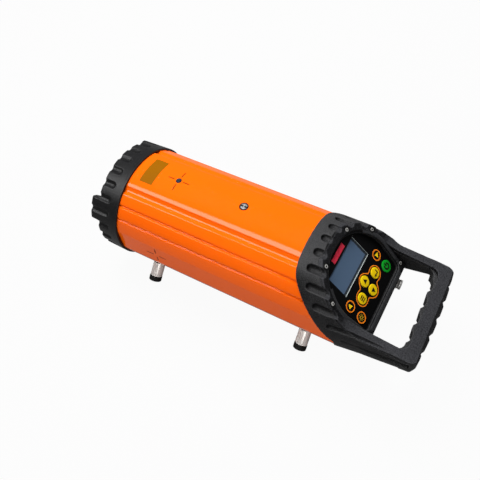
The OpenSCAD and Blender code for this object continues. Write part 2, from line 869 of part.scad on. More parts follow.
module gimbal_frame() {
    color("gray") difference() {
        union() {
            difference() {
                rod_x(bulk_r, -frame_half, frame_half, $fn = 128);
                rod_x(frame_in, -20, 20, $fn = 128);
            }
            translate([frame_half - 2, -12, -frame_in - 8]) cube([5, 24, 7]);
            translate([frame_half, -12, -frame_in - 8])
                cube([3, 24, frame_in + 8 + bracket_z + 3]);
            translate([frame_half, -12, bracket_z])
                cube([drive_x + 10 - frame_half, 24, 3]);
        }
        for (a = RODS) round_x(a) translate([0, 0, rod_circle])
            rod_x(rod_r + fit_slip, -20, 20);
        for (s = [0, 180]) round_x(s) cylinder(r = trun_r + fit_run, h = pin_end + air);
        translate([drive_x, 0, bracket_z - 9]) cylinder(r = shaft_r + fit_run, h = 20);
    }
}

module sector(half) {
    root = sector_r - 1.15 * mod;
    a = (half + 0.5) * 360 / sector_teeth;
    polygon(concat([[0, 0], root * [cos(a), -sin(a)]],
        gear_points(sector_teeth, -half, half, 0), [root * [cos(a), sin(a)]]));
}

module yoke() {
    color("steelblue") difference() {
        union() {
            difference() {
                rod_x(yoke_out, -yoke_half, yoke_half, $fn = 128);
                rod_x(yoke_in, -20, 20, $fn = 128);
            }
            for (s = [0, 180]) round_x(s)
                translate([0, 0, yoke_out - 2]) cylinder(r = trun_r, h = pin_end - yoke_out + 2);
            difference() {
                translate([0, 0, line_z]) linear_extrude(gear_t) sector(3);
                translate([-eps, 0, 0]) rod_x(yoke_in - 1.5, -20, yoke_half);
            }
            translate([yoke_half - 2, arm_y, -9])
                cube([drive_x + 9 - yoke_half + 2, arm_t, 18]);
            translate([yoke_half - 2, arm_y, -9]) cube([4, 5, 18]);
        }
        rotate([90, 0, 0]) cylinder(r = trun_r + fit_run, h = 4 * yoke_out, center = true);
        translate([drive_x, 0, 0]) rotate([-90, 0, 0])
            cylinder(r = shaft_r + fit_run, h = 2 * yoke_out);
    }
}

module cradle() {
    color("slategray") {
        difference() {
            rod_x(barrel_r, barrel_front, barrel_rear);
            rod_x(barrel_r - 3, barrel_front - eps, barrel_rear - 12);
            rod_x(4.6, 0, barrel_rear + eps);
        }
        for (s = [-90, 90]) round_x(s) translate([0, 0, barrel_r - 1.5]) {
            cylinder(r = trun_r, h = trun_end - barrel_r + 1.5);
            cylinder(r = trun_r + 3, h = grade_y - barrel_r + 1.5);
        }
        translate([0, grade_y + gear_t, 0]) rotate([90, 0, 0]) linear_extrude(gear_t) {
            sector(5);
            circle(trun_r + 4);
        }
        translate([14, -4, barrel_r - 1.5]) cube([24, 8, 3]);
    }
}

module level_vial() {
    color("palegreen") translate([0, 0, barrel_r + 1.5 + 3.2]) difference() {
        rod_x(3.2, 15, 37);
        rod_x(0.8, 14, 16.5);
    }
}

module collimator_lens() {
    color("lightblue") rod_x(barrel_r - 3 - fit_run, barrel_front + 4, barrel_front + 10);
}

module laser_diode() {
    color("goldenrod") {
        rod_x(4.5, barrel_rear - 14, barrel_rear + 2);
        rod_x(6, barrel_rear, barrel_rear + 4);
    }
}

module pinion(len) {
    linear_extrude(gear_t) polygon(gear_points(pinion_teeth, 0, pinion_teeth - 1,
        180 + 180 / pinion_teeth));
    translate([0, 0, gear_t - eps]) cylinder(r = shaft_r, h = len + eps);
}

module line_motor() {
    color("silver") translate([drive_x, 0, bracket_z - motor_len - 1])
        cylinder(r = motor_r, h = motor_len + 1 - fit_slip);
}

module line_pinion() {
    color("goldenrod") translate([drive_x, 0, line_z + gear_t]) mirror([0, 0, 1])
        pinion(line_z - bracket_z - air);
}

module grade_motor() {
    color("silver") translate([drive_x, arm_y + arm_t + fit_slip, 0]) rotate([-90, 0, 0])
        cylinder(r = motor_r, h = motor_len);
}

module grade_pinion() {
    color("goldenrod") translate([drive_x, grade_y, 0]) rotate([-90, 0, 0])
        pinion(arm_y + arm_t - grade_y - gear_t - air);
}

// Power and electronics
module tray_end_plate(x) {
    run_x(x, x + tray_end) intersection() {
        circle(tube_in - 1, $fn = 128);
        translate([-tube_in, -tube_in]) square([2 * tube_in, tube_in + tray_top]);
    }
}

module battery_tray() {
    color("dimgray") difference() {
        union() {
            tray_end_plate(tray_front);
            tray_end_plate(tray_front + tray_len - tray_end);
            translate([tray_front, -26, cell_z - cell_r - 3]) cube([tray_len, 52, 3]);
        }
        for (a = RODS) round_x(a) translate([0, 0, rod_circle])
            rod_x(rod_r + fit_slip, 0, grip_rear);
        for (x = [tray_front + tray_end / 2, tray_front + tray_len - tray_end / 2], s = [-1, 1])
            translate([x, s * 26, tray_top - 7]) cylinder(r = 1 + fit_slip, h = 9);
    }
}

module battery_cells() {
    gap = (tray_len - 2 * tray_end - cell_len) / 2;
    color("teal") for (i = [-1:1]) translate([0, i * (2 * cell_r + 0.4), cell_z])
        rod_x(cell_r, tray_front + tray_end + gap, tray_front + tray_end + gap + cell_len);
}

module main_board() {
    color("green") difference() {
        union() {
            translate([tray_front, -32, tray_top]) cube([tray_len, 64, board_t]);
            translate([tray_front + 12, -20, tray_top + board_t - 0.5]) cube([16, 16, 3]);
            translate([tray_front + 40, 4, tray_top + board_t - 0.5]) cube([20, 12, 2.5]);
        }
        for (x = [tray_front + tray_end / 2, tray_front + tray_len - tray_end / 2], s = [-1, 1])
            translate([x, s * 26, tray_top - 9]) cylinder(r = 1 + fit_slip, h = 20);
    }
}

module board_screws() {
    color("silver")
        for (x = [tray_front + tray_end / 2, tray_front + tray_len - tray_end / 2], s = [-1, 1])
            translate([x, s * 26, tray_top]) {
                translate([0, 0, -6]) cylinder(r = 1, h = 7 + board_t);
                translate([0, 0, board_t]) cylinder(r = 1.9, h = 1.4);
            }
}

place() housing_tube();
place() front_ring();
place() front_bulkhead();
place() front_seal();
place() window_glass();
place() window_retainer();
place() retainer_screws();
place() ring_screws();
place() rear_cap();
place() handle_plate();
place() plate_screws();
place() cap_screws();
place() panel_plate();
place() panel_gasket();
place() lcd_window();
place() lcd_module();
place() remote_window();
place() key_board();
place() key_domes();
place() key_board_screws();
place() key(0, "orange");  // key_left
place() key(1, "orange");  // key_right
place() key(2, "limegreen");  // key_power
place() key(3, "orange");  // key_light
place() key(4, "gold");  // key_up
place() key(5, "gold");  // key_down
place() key(6, "gold");  // key_enter
place() key(7, "gold");  // key_set
place() charge_connector();
place() connector_nut();
place() leg_posts();
place() leg_collars();
place() leg_feet();
place() leg_nuts();
place() pivot_screw();
place() sight_screw();
place() tie_rods();
place() rear_bulkhead();
place() gimbal_frame();
place() yoke();
place() cradle();
place() level_vial();
place() collimator_lens();
place() laser_diode();
place() line_motor();
place() line_pinion();
place() grade_motor();
place() grade_pinion();
place() battery_tray();
place() battery_cells();
place() main_board();
place() board_screws();
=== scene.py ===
import json
import bmesh
import bpy
import numpy as np
from mathutils import Matrix


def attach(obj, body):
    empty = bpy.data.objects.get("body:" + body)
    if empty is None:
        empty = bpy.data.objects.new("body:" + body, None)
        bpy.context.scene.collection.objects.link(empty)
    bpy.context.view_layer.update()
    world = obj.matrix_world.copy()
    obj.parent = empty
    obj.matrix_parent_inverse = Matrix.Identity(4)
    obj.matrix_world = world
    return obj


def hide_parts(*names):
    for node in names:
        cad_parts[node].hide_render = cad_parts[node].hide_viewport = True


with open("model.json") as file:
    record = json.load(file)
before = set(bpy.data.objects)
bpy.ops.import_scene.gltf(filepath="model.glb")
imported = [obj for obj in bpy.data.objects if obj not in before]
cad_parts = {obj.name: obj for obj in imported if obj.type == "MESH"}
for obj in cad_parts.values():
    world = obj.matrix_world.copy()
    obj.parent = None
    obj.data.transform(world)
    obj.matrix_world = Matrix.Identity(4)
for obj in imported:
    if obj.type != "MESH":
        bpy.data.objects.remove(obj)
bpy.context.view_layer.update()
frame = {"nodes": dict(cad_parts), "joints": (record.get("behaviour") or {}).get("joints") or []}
pivot = np.array(next(j for j in frame["joints"] if j["name"] == "line_swing")["pos_m"])


# Housing tube: extruded aluminium with grooves and side flats, powder coated in glossy orange.
# The ring slips over its front end and the cap over its turned-down rear end, and the legs screw
# in from below. A groove is its angle from the crown, its width, its depth and its softness.
tube_r = 60.0
flat_half = 58.4
flat_soft = 0.05
grooves = ((29.5, 9.4, 2.0, 0.22), (46.5, 3.2, 1.5, 0.8), (61.0, 2.56, 1.275, 0.7))
tube_front = -59.0
bore_r = 55.0
seat_r = 57.8
seat_len = 7.0
paint_gap = 0.1
edge_x = 150.5
edge_top = 57.5
edge_bend = 20
edge_lean = np.radians(41)
edge_belly = 9


def place(points):
    """Millimetres from the pivot, x along the tube and z up, to metres in the shared frame."""
    return pivot + np.asarray(points, float) / 1000


def grid_faces(points, wrap_rows, wrap_cols, first):
    """Four-cornered faces that join each grid point to its neighbours in both directions."""
    n, m = points.shape[:2]
    rows = np.arange(n if wrap_rows else n - 1)
    cols = np.arange(m if wrap_cols else m - 1)
    i, j = np.meshgrid(rows, cols, indexing="ij")
    i2 = (i + 1) % n
    j2 = (j + 1) % m
    corners = [i * m + j, i2 * m + j, i2 * m + j2, i * m + j2]
    return first + np.stack(corners, -1).reshape(-1, 4)


def merged(mesh, gap, outwards):
    """Joins the points that lie closer than a gap in metres, and may turn the faces outwards."""
    shape = bmesh.new()
    shape.from_mesh(mesh)
    bmesh.ops.remove_doubles(shape, verts=shape.verts, dist=gap)
    if outwards:
        bmesh.ops.recalc_face_normals(shape, faces=shape.faces)
    shape.to_mesh(mesh)
    shape.free()


def closed_mesh(name, grids):
    """A closed mesh from grids of points in millimetres; each grid says which ways it wraps."""
    verts = np.concatenate([g[0].reshape(-1, 3) for g in grids])
    starts = np.cumsum([0] + [g[0].shape[0] * g[0].shape[1] for g in grids])
    faces = np.concatenate([grid_faces(*g, s) for g, s in zip(grids, starts)])
    mesh = bpy.data.meshes.new(name)
    mesh.from_pydata(place(verts).tolist(), [], faces.tolist())
    merged(mesh, 2e-6, True)
    return mesh


def set_down(name, data):
    """A new object in the scene, at the origin."""
    made = bpy.data.objects.new(name, data)
    bpy.context.scene.collection.objects.link(made)
    return made


def piece(name, grids, material, body="housing", replaces=(), crease=40):
    """One closed object from grids, smooth but for edges sharper than the crease angle."""
    mesh = closed_mesh(name, grids)
    mesh.polygons.foreach_set("use_smooth", np.ones(len(mesh.polygons), bool))
    mesh.set_sharp_from_angle(angle=np.radians(crease))
    mesh.materials.append(material)
    made = set_down(name, mesh)
    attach(made, body)
    if replaces:
        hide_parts(*replaces)
    return made


def feed(tree, socket, value):
    """Gives a node's input a number, a colour or a vector, or links another node's output to it."""
    if isinstance(value, bpy.types.NodeSocket):
        tree.links.new(value, socket)
    else:
        socket.default_value = value


def maths(tree, operation, *values):
    """A maths node on numbers and sockets."""
    node = tree.nodes.new("ShaderNodeMath")
    node.operation = operation
    for socket, value in zip(node.inputs, values):
        feed(tree, socket, value)
    return node.outputs["Value"]


def noise(tree, vector, scale, detail):
    """Noise on a vector."""
    node = tree.nodes.new("ShaderNodeTexNoise")
    for key, value in (("Vector", vector), ("Scale", scale), ("Detail", detail)):
        feed(tree, node.inputs[key], value)
    return node.outputs["Fac"]


def span(tree, value, low, high, out_low, out_high):
    """Moves a value from one range to another."""
    node = tree.nodes.new("ShaderNodeMapRange")
    ends = {"Value": value, "From Min": low, "From Max": high, "To Min": out_low, "To Max": out_high}
    for key, end in ends.items():
        feed(tree, node.inputs[key], end)
    return node.outputs["Result"]


def mixed(tree, factor, one, two):
    """A blend of two colours."""
    node = tree.nodes.new("ShaderNodeMix")
    node.data_type = "RGBA"
    feed(tree, node.inputs["Factor"], factor)
    colours = [s for s in node.inputs if s.type == "RGBA"]
    for socket, colour in zip(colours, (one, two)):
        feed(tree, socket, colour)
    return next(s for s in node.outputs if s.type == "RGBA")


def bump(tree, height, strength, distance):
    """A normal from a height field."""
    node = tree.nodes.new("ShaderNodeBump")
    for key, value in (("Height", height), ("Strength", strength), ("Distance", distance)):
        feed(tree, node.inputs[key], value)
    return node.outputs["Normal"]


def effect_group(name, **inputs):
    """A node group with named inputs, for a colour, a roughness and a normal on object places."""
    tree = bpy.data.node_groups.new(name, "ShaderNodeTree")
    outputs = {"Base Color": "Color", "Roughness": "Float", "Normal": "Vector"}
    for way, sockets in (("INPUT", inputs), ("OUTPUT", outputs)):
        for label, kind in sockets.items():
            tree.interface.new_socket(name=label, in_out=way, socket_type="NodeSocket" + kind)
    given = tree.nodes.new("NodeGroupInput").outputs
    where = tree.nodes.new("ShaderNodeTexCoord").outputs["Object"]
    return tree, given, where


def put_out(tree, colour, rough, normal):
    """Links a group's colour, roughness and normal to its outputs."""
    end = tree.nodes.new("NodeGroupOutput")
    for key, value in (("Base Color", colour), ("Roughness", rough), ("Normal", normal)):
        tree.links.new(value, end.inputs[key])


def coated(name, group, values, **sockets):
    """A material whose colour, roughness and normal come from one effect group."""
    made = bpy.data.materials.new(name)
    made.use_nodes = True
    tree = made.node_tree
    shader = tree.nodes["Principled BSDF"]
    effect = tree.nodes.new("ShaderNodeGroup")
    effect.node_tree = group
    for key, value in values.items():
        effect.inputs[key].default_value = value
    for key in ("Base Color", "Roughness", "Normal"):
        tree.links.new(effect.outputs[key], shader.inputs[key])
    for key, value in sockets.items():
        shader.inputs[key.replace("_", " ")].default_value = value
    return made


painted, given, where = effect_group("Painted", Colour="Color", Shade="Color", Rough="Float")
cloud = noise(painted, where, 14.0, 3.0)
peel = noise(painted, where, 620.0, 1.0)
patch = span(painted, cloud, 0.35, 0.7, 0.0, 0.5)
put_out(painted, mixed(painted, patch, given["Colour"], given["Shade"]),
    maths(painted, "MULTIPLY_ADD", cloud, 0.06, given["Rough"]), bump(painted, peel, 0.05, 0.0002))


def paint(name, colour, shade, rough, **sockets):
    """A smooth coat whose colour drifts a little towards a shade."""
    values = {"Colour": (*colour, 1), "Shade": (*shade, 1), "Rough": rough}
    return coated(name, painted, values, **sockets)


orange = paint("orange_paint", (0.80, 0.106, 0.0015), (0.77, 0.098, 0.0015), 0.025,
    Specular_IOR_Level=0.34)

angle = np.linspace(-np.pi, np.pi, 1440, endpoint=False)


def eased(x, soft):
    """The larger of x and nought, with the kink rounded over about the length soft."""
    return 0.5 * (x + np.sqrt(x * x + soft * soft))


def tube_radius(a):
    """Radius at angle a from the crown: a circle less its two side flats and six round grooves."""
    side = np.maximum(np.abs(np.sin(a)), 1e-6)
    cut = eased(tube_r - flat_half / side, flat_soft)
    for middle, width, depth, soft in grooves:
        arc = tube_r * (np.abs(a) - np.radians(middle))
        cut = cut + eased(depth * (1 - (2 * arc / width) ** 2), soft)
    return tube_r - cut


def cap_edge(z):
    """Where the cap's front edge lies at height z: upright at the crown, then an arc, a straight
    slant, and upright again at the belly."""
    arc_end = edge_top - edge_bend * np.sin(edge_lean)
    bent = np.clip((edge_top - z) / edge_bend, 0, np.sin(edge_lean))
    slant = np.clip(arc_end - z, 0, arc_end + edge_belly)
    return edge_x + edge_bend * (1 - np.sqrt(1 - bent ** 2)) + slant * np.tan(edge_lean)


def tube_wall(radius, along, past):
    """Rows of the tube's skin, by share along, from the front end to a length past the cap's edge."""
    y = radius * np.sin(angle)
    z = radius * np.cos(angle)
    x = tube_front + np.asarray(along)[:, None] * (cap_edge(z) + past - tube_front)
    return np.stack([x, np.broadcast_to(y, x.shape), np.broadcast_to(z, x.shape)], -1)


skin = tube_wall(tube_radius(angle), np.linspace(0, 1, 9), -paint_gap)
step_in = tube_wall(seat_r, [1.0], -paint_gap)
seat_end = tube_wall(seat_r, [1.0], seat_len)
inside = tube_wall(bore_r, [1.0, 0.5, 0.0], seat_len)
piece("tube_shell", [(np.concatenate([skin, step_in, seat_end, inside]), True, True)], orange,
    replaces=("housing_tube",), crease=60)


# Aiming marks and screws of the tube: thin dark red lines inlaid in the paint at the crown and on
# the near flat, a bare amber plate, a socket screw over the pivot and a slotted one further back.
# The dark rings round both screw heads are painted shade of their recesses, and the slot is a dark
# strip on the head, painted shade of a slot.
mark_w = 0.85
mark_top = 0.06
mark_root = -0.3
crown_arms = ((-12.5, -5.2), (5.2, 12.5))
flat_mark_w = 1.05
flat_mark_top = 0.08
flat_mark = np.array([-2.8, -58.35, -0.5])
flat_arms = (([-12.5, 0, 0], [-3.4, 0, 0]), ([3.4, 0, 0], [12.5, 0, 0]),
    ([0, 0, -9.5], [0, 0, -3.2]), ([0, 0, 3.2], [0, 0, 11.5]))
amber_x = -31.5
amber_w = 15.6
amber_ends = (-16.4, 17.2)
crown_up = [0, 0, 1]
pivot_at = [0, 0, tube_r]
sight_at = [77, 0, tube_r]


def unit(v):
    """Vectors of length one."""
    v = np.asarray(v, float)
    return v / np.maximum(np.linalg.norm(v, axis=-1, keepdims=True), 1e-12)


def capped(rows):
    """Rows with a row of one point, the middle of the nearest row, at each end to shut them."""
    ends = [np.repeat(r.mean(0)[None, None], rows.shape[1], 1) for r in (rows[0], rows[-1])]
    return np.concatenate([ends[0], rows, ends[1]])


def ribbon(path, out, width, high, low, closed=False):
    """A flat band along a path: four corners per point, half the width to each side of the path,
    and from low to high along the outward direction; an open band is shut at both ends."""
    path = np.asarray(path, float)
    out = np.broadcast_to(unit(out), path.shape)
    if closed:
        along = np.roll(path, -1, 0) - np.roll(path, 1, 0)
    else:
        along = np.gradient(path, axis=0)
    side = unit(np.cross(out, unit(along)))
    corners = [(-0.5, low), (0.5, low), (0.5, high), (-0.5, high)]
    rows = np.stack([path + s * width * side + h * out for s, h in corners], 1)
    return rows if closed else capped(rows), closed, True


def line(a, b, steps=9):
    """Points in equal steps from a to b."""
    t = np.linspace(0, 1, steps)[:, None]
    return np.asarray(a, float) * (1 - t) + np.asarray(b, float) * t


def rounded(corners, radii, steps=6):
    """A profile through the corners, each cut back by its radius and joined by a square curve:
    (1-s)(1-s) of one side, 2s(1-s) of the corner and ss of the other side."""
    p = np.asarray(corners, float)
    r = np.asarray(radii, float)[:, None]
    s = np.linspace(0, 1, steps)[None, :, None]
    a = (p + unit(np.roll(p, 1, 0) - p) * r)[:, None]
    b = (p + unit(np.roll(p, -1, 0) - p) * r)[:, None]
    return ((1 - s) ** 2 * a + 2 * s * (1 - s) * p[:, None] + s * s * b).reshape(-1, 2)


def turned(profile, base, axis, steps=72):
    """A turned shape: each profile point is a radius and a height along the axis."""
    axis = unit(axis)
    side = unit(np.cross(axis, [0.31, 0.83, 0.47]))
    turn = np.linspace(0, 2 * np.pi, steps, endpoint=False)[:, None]
    ring = np.cos(turn) * side + np.sin(turn) * np.cross(axis, side)
    profile = np.asarray(profile, float)
    rows = profile[:, 0, None, None] * ring + profile[:, 1, None, None] * axis
    return np.asarray(base, float) + rows, False, True


def washer(profile, base, axis, steps=72):
    """A turned ring, whose profile closes on itself away from the axis."""
    return turned(profile, base, axis, steps)[0], True, True


moulded, given, where = effect_group("Moulded", Dark="Color", Light="Color", Grain="Float",
    Depth="Float", Rough="Float", Bias="Float")
fine = noise(moulded, where, given["Grain"], 2.0)
broad = noise(moulded, where, 22.0, 3.0)
mottle = maths(moulded, "MULTIPLY_ADD", broad, 0.5, span(moulded, fine, 0.3, 0.75, -0.15, 0.6))
# Bias moves the mix towards the light colour; the ring, cap and plate feed it painted light and shade.
tint = maths(moulded, "ADD", given["Bias"], mottle)
put_out(moulded, mixed(moulded, tint, given["Dark"], given["Light"]),
    maths(moulded, "MULTIPLY_ADD", broad, 0.15, given["Rough"]),
    bump(moulded, fine, given["Depth"], 0.0004))


def plastic(name, dark, light, grain, depth, rough, gloss):
    """A moulded material, mottled between a dark and a light colour."""
    values = {"Dark": (*dark, 1), "Light": (*light, 1), "Grain": grain, "Depth": depth, "Rough": rough}
    return coated(name, moulded, values, Specular_IOR_Level=gloss)


def vector_maths(tree, operation, one, two, result="Vector"):
    """A vector maths node on two vectors."""
    node = tree.nodes.new("ShaderNodeVectorMath")
    node.operation = operation
    feed(tree, node.inputs[0], one)
    feed(tree, node.inputs[1], two)
    return node.outputs[result]


brushed, given, where = effect_group("Brushed", Colour="Color", Streak="Vector", Rough="Float",
    Low="Float")
streaks = noise(brushed, vector_maths(brushed, "MULTIPLY", where, given["Streak"]), 1.0, 3.0)
dim = brushed.nodes.new("ShaderNodeHueSaturation")
feed(brushed, dim.inputs["Color"], given["Colour"])
feed(brushed, dim.inputs["Value"], span(brushed, streaks, 0.3, 0.7, given["Low"], 1.0))
put_out(brushed, dim.outputs["Color"], maths(brushed, "MULTIPLY_ADD", streaks, 0.2, given["Rough"]),
    bump(brushed, streaks, 0.08, 0.0002))


def metal(name, colour, streak, rough, low, metallic):
    """A brushed material; its streaks take the colour down to the share low."""
    values = {"Colour": (*colour, 1), "Streak": streak, "Rough": rough, "Low": low}
    return coated(name, brushed, values, Metallic=metallic)


mark_ink = plastic("mark_ink", (0.030, 0.003, 0.001), (0.055, 0.006, 0.002), 900.0, 0.05, 0.5, 0.08)
steel = metal("screw_steel", (0.66, 0.65, 0.62), (500.0, 500.0, 500.0), 0.22, 0.8, 0.3)
dark_steel = metal("dark_steel", (0.04, 0.06, 0.095), (500.0, 500.0, 500.0), 0.3, 0.7, 0.5)
worn_steel = metal("worn_steel", (0.40, 0.40, 0.41), (900.0, 200.0, 900.0), 0.25, 0.3, 0.3)
# Near black: the battery tray's own plastic, and painted shade where it rings screw heads or fills a
# slot or a socket.
black_and_painted_shade = plastic("black_and_painted_shade", (0.004, 0.004, 0.004), (0.01, 0.01, 0.01), 900.0, 0.05, 0.6, 0.15)
amber = paint("amber_plate", (0.22, 0.077, 0.001), (0.17, 0.058, 0.001), 0.35,
    Specular_IOR_Level=0.05)


def on_crown(x, arc):
    """A point on the crown: x along the tube and a length round it from the top line."""
    a = np.asarray(arc, float) / tube_r
    y = tube_r * np.sin(a)
    z = tube_r * np.cos(a)
    return np.stack(np.broadcast_arrays(np.asarray(x, float), y, z), -1)


def round_band(x, ends, steps, width):
    """A band round the crown at x, between two lengths from the top line."""
    bow = on_crown(x, np.linspace(*ends, steps))
    return ribbon(bow, bow * [0, 1, 1], width, mark_top, mark_root)


marks = [ribbon(on_crown(np.linspace(*ends, 5), 0.0), crown_up, mark_w, mark_top, mark_root)
    for ends in crown_arms]
marks += [round_band(0.0, ends, 9, mark_w) for ends in crown_arms]
marks += [ribbon(line(flat_mark + a, flat_mark + b), [0, -1, 0], flat_mark_w, flat_mark_top, mark_root)
    for a, b in flat_arms]
piece("aim_marks", marks, mark_ink)
piece("bare_plate", [round_band(amber_x, amber_ends, 25, amber_w)], amber)

# Painted shade: dark rings round the two screw heads, standing for their recesses.
seat = rounded([[2.4, -1], [3.1, -1], [3.1, 0.12], [2.4, 0.12]], [0, 0, 0.15, 0.1])
piece("pivot_recess_shade", [washer(seat, pivot_at, crown_up)], black_and_painted_shade)
head = rounded([[0, -3], [2.5, -3], [2.5, 0.4], [1.5, 0.4], [1.3, 0.1], [0, 0.1]],
    [0, 0, 0.2, 0.1, 0.1, 0])
piece("pivot_head", [turned(head, pivot_at, crown_up)], dark_steel,
    replaces=("pivot_screw",))
seat = rounded([[3.1, -1], [4.7, -1], [4.7, 0.14], [3.1, 0.14]], [0, 0, 0.1, 0.1])
piece("sight_recess_shade", [washer(seat, sight_at, crown_up)], black_and_painted_shade)
head = rounded([[0, -3], [3.5, -3], [3.5, 0.3], [0, 0.45]], [0, 0, 0.5, 0])
piece("sight_head", [turned(head, sight_at, crown_up)], worn_steel,
    replaces=("sight_screw",))
# Painted shade: a dark strip on the sight screw's head, standing for its slot.
piece("sight_slot_shade", [ribbon(line([73.6, 0, 60.3], [80.4, 0, 60.3]), crown_up, 1.5, 0.12, -0.5)],
    black_and_painted_shade)


# Front ring: thick moulded black plastic, screwed to the bulkhead through the tube's front end.
# Round notches run forward over its rim, and three lugs stand in front of the window.
ring_r = 62.2
cone_run = 35.5
ring_fit = 60.1
ring_back = -49.5
ring_bend = -50.2
ring_face = -75.5
ring_bore = 46.0
lug_inner = 53.2
lug_len = 9.5
lug_middles = np.array([60, 180, 300])
lug_half = 13.9
lug_ramp = 1.8
notches = 24
notch_r = 62
notch_half = 4
notch_depth = 2.0
notch_soft = 0.18
notch_end = -64

# Painted light and shade for the black plastics: upper faces lighter and side faces darker by their
# slope, a painted highlight on sharp edges and painted shade in creases by pointiness, and painted
# shade in hollows by ambient occlusion.
painted_light = bpy.data.node_groups.new("PaintedLight", "ShaderNodeTree")
painted_light.interface.new_socket(name="Bias", in_out="OUTPUT", socket_type="NodeSocketFloat")
surface = painted_light.nodes.new("ShaderNodeNewGeometry")
parts = painted_light.nodes.new("ShaderNodeSeparateXYZ")
painted_light.links.new(surface.outputs["Normal"], parts.inputs[0])
shelter = painted_light.nodes.new("ShaderNodeAmbientOcclusion")
shelter.samples = 8
shelter.only_local = True
shelter.inputs["Distance"].default_value = 0.007
painted_top_light = span(painted_light, parts.outputs["Z"], 0.72, 0.86, -0.3, 0.15)
painted_edge_light = span(painted_light, surface.outputs["Pointiness"], 0.46, 0.56, -0.35, 0.6)
painted_hollow_shade = span(painted_light, shelter.outputs["AO"], 0.5, 0.95, -0.4, 0.0)
total = maths(painted_light, "ADD", maths(painted_light, "ADD", painted_top_light, painted_edge_light), painted_hollow_shade)
painted_light.links.new(total, painted_light.nodes.new("NodeGroupOutput").inputs["Bias"])


def with_painted_light(material):
    """Paints light and shade into a material: upper faces lighter and side faces darker, sharp edges
    lighter as a painted highlight, creases darker, and painted shade in its hollows.
    """
    tree = material.node_tree
    cover = tree.nodes.new("ShaderNodeGroup")
    cover.node_tree = painted_light
    effect = tree.nodes["Principled BSDF"].inputs["Base Color"].links[0].from_node
    tree.links.new(cover.outputs["Bias"], effect.inputs["Bias"])


black = plastic("ring_plastic", (0.0032, 0.0032, 0.0034), (0.014, 0.014, 0.0147), 1500.0, 0.3, 0.32,
    0.3)
# The ring's black gets painted light and shade: lighter tops and edges, darker sides and hollows.
with_painted_light(black)


def stepped(x):
    """A smooth step: x held between 0 and 1, then xx(3 - 2x)."""
    x = np.clip(x, 0, 1)
    return x * x * (3 - 2 * x)


turn = np.linspace(0, 2 * np.pi, 1080, endpoint=False)
away = np.abs((np.degrees(turn)[:, None] - lug_middles + 180) % 360 - 180).min(1)
lug = stepped((lug_half - away) / lug_ramp)
front = ring_face - lug_len * lug


def ring_skin(x):
    """Outer radius at each x and angle: a slow cone less its notches, each a round-ended scoop of
    depth d(1 - (distance / half width) squared), with its edges eased."""
    cone = ring_r - (ring_back - x) / cone_run
    pitch = 2 * np.pi / notches
    off = (turn + pitch / 2) % pitch - pitch / 2
    reach = (notch_r * off) ** 2 + np.maximum(0, x - notch_end) ** 2
    return cone - eased(notch_depth * (1 - reach / notch_half ** 2), notch_soft)


def bend(a, b, c, steps):
    """A square curve from a to c by way of b, each a pair of a radius and an x round the ring."""
    s = np.linspace(0, 1, steps)[:, None]
    round_all = np.ones_like(turn)
    return tuple((1 - s) ** 2 * (p * round_all) + 2 * s * (1 - s) * (q * round_all)
        + s * s * (r * round_all) for p, q, r in zip(a, b, c))


def hoop(r, x):
    """One loop of points round the ring."""
    return r * np.ones((1, turn.size)), x * np.ones((1, turn.size))


ease = 1.2 + 2.0 * lug
foot = 0.6 * lug
outer_x = ring_bend + np.linspace(0, 1, 30)[:, None] * (front + ease - ring_bend)
outer_r = ring_skin(outer_x)
rim = ring_skin(front)
loops = [hoop(ring_fit, ring_back),
    bend((outer_r[0] - 0.7, ring_back), (outer_r[0], ring_back), (outer_r[0], ring_bend), 5),
    (outer_r, outer_x),
    bend((outer_r[-1], front + ease), (rim, front), (rim - 0.2 - ease, front), 8),
    bend((lug_inner + 1, front), (lug_inner, front), (lug_inner, front + foot), 5),
    bend((lug_inner, ring_face - foot), (lug_inner, ring_face), (lug_inner - 0.6, ring_face), 4),
    bend((ring_bore + 1.2, ring_face), (ring_bore, ring_face), (ring_bore, ring_face + 1.2), 5),
    hoop(ring_bore, -66.0), hoop(ring_bore, tube_front), hoop(ring_fit, tube_front)]
radius = np.concatenate([p[0] for p in loops])
x = np.concatenate([p[1] for p in loops])
ring = np.stack([x, radius * np.sin(turn), radius * np.cos(turn)], -1)
piece("front_ring_shell", [(ring, True, True)], black, replaces=("front_ring",),
    crease=50)


# Rear cap: moulded black plastic sleeve with long flutes, two arms and the lower half of the grip.
# It is a softened copy of the frame's own solid, since its blended shape has no simple profile.
def softened(node, name, material, voxel, passes, share, cutter=None):
    """A copy of a frame solid, less a cutter where there is one, rebuilt on a fine grid and
    smoothed so that its edges are round."""
    made = frame["nodes"][node].copy()
    made.data = made.data.copy()
    made.name = name
    made.modifiers.clear()
    bpy.context.scene.collection.objects.link(made)
    merged(made.data, 1e-6, False)
    if cutter:
        cut = made.modifiers.new("cut", "BOOLEAN")
        cut.operation = "DIFFERENCE"
        cut.object = cutter
    rebuild = made.modifiers.new("rebuild", "REMESH")
    rebuild.mode = "VOXEL"
    rebuild.voxel_size = voxel
    smooth = made.modifiers.new("smooth", "SMOOTH")
    smooth.iterations = passes
    smooth.factor = 0.5
    thin = made.modifiers.new("thin", "DECIMATE")
    thin.ratio = share
    ready = made.evaluated_get(bpy.context.evaluated_depsgraph_get())
    mesh = bpy.data.meshes.new_from_object(ready)
    made.modifiers.clear()
    made.data = mesh
    mesh.materials.clear()
    mesh.materials.append(material)
    mesh.polygons.foreach_set("use_smooth", np.ones(len(mesh.polygons), bool))
    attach(made, "housing")
    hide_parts(node)
    return made


cap_black = plastic("cap_plastic", (0.0025, 0.0025, 0.0027), (0.044, 0.044, 0.0455), 1400.0, 0.45,
    0.34, 0.14)
# The cap's black gets painted light and shade: lighter tops and edges, darker sides and flutes.
with_painted_light(cap_black)
softened("rear_cap", "rear_cap_shell", cap_black, 0.0005, 3, 0.22)


